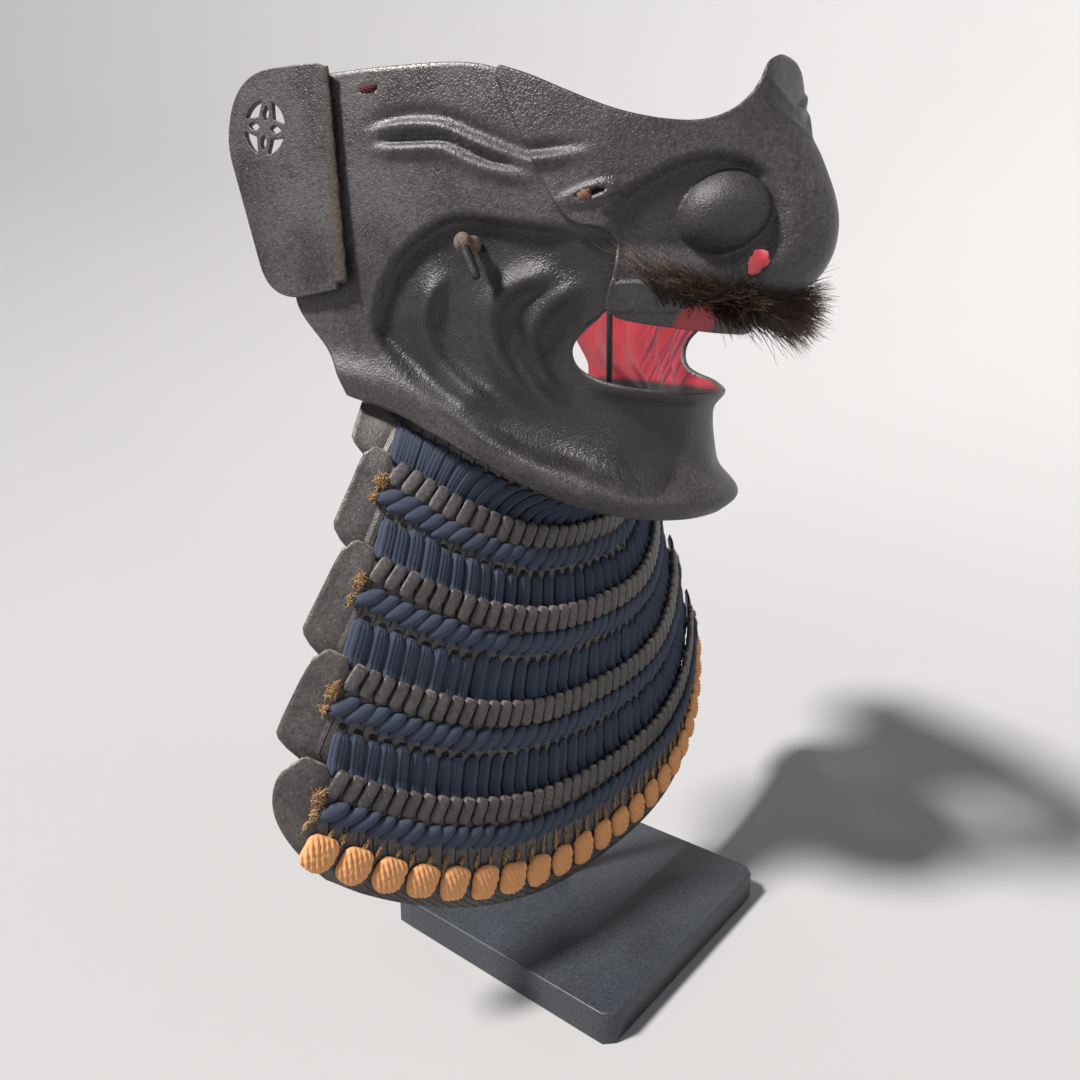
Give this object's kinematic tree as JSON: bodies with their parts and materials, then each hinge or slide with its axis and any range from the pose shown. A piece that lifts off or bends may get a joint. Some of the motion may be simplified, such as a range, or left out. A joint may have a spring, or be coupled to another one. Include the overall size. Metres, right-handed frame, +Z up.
{
  "type": "samurai face guard on display stand",
  "caption": "Lacquered iron half mask with nose piece, ear plates and moustache, above a laced throat guard with silk pads, held on a square display stand.",
  "frame": {"origin": "centre of the underside of the square base plate", "axes": "+Z up, the face looks along -Y, +X is the wearer's left"},
  "size_m": [0.2338, 0.1618, 0.2931],
  "materials": {
    "lacquer": "fine-grained brown-black lacquer on iron, satin, edges worn bright, inside glossy red",
    "lames": "grey-brown lacquer on laced iron plates, satin",
    "navy_silk": "dark navy braided silk lacing",
    "orange_silk": "orange twill silk pads with tan fray",
    "hair": "coarse dark brown horsehair with tan tips",
    "tie_cord": "old dark brown-red twisted cord",
    "peg": "brown leather-wrapped iron peg",
    "stand": "slate grey matt paint on steel"
  },
  "bodies": {
    "root": {"base_plate": "stand", "stand_post": "stand", "mask_shell": "lacquer", "nose_piece": "lacquer", "ear_plate_right": "lacquer", "ear_plate_left": "lacquer", "cord_peg_right": "peg", "cord_peg_left": "peg", "nose_tie_right": "tie_cord", "nose_tie_left": "tie_cord", "rim_tie_right": "tie_cord", "rim_tie_left": "tie_cord", "moustache": "hair", "lame_0": "lames", "lacing_0": "navy_silk", "lame_1": "lames", "braid_1": "navy_silk", "lacing_1": "navy_silk", "lame_2": "lames", "braid_2": "navy_silk", "lacing_2": "navy_silk", "lame_3": "lames", "braid_3": "navy_silk", "lacing_3": "navy_silk", "lame_4": "lames", "braid_4": "navy_silk", "pad_01": "orange_silk", "pad_02": "orange_silk", "pad_03": "orange_silk", "pad_04": "orange_silk", "pad_05": "orange_silk", "pad_06": "orange_silk", "pad_07": "orange_silk", "pad_08": "orange_silk", "pad_09": "orange_silk", "pad_10": "orange_silk", "pad_11": "orange_silk", "pad_12": "orange_silk", "pad_13": "orange_silk", "pad_14": "orange_silk", "pad_15": "orange_silk", "pad_16": "orange_silk", "pad_17": "orange_silk", "pad_18": "orange_silk", "pad_19": "orange_silk", "pad_20": "orange_silk", "pad_21": "orange_silk", "pad_22": "orange_silk"}
  },
  "joints": []
}
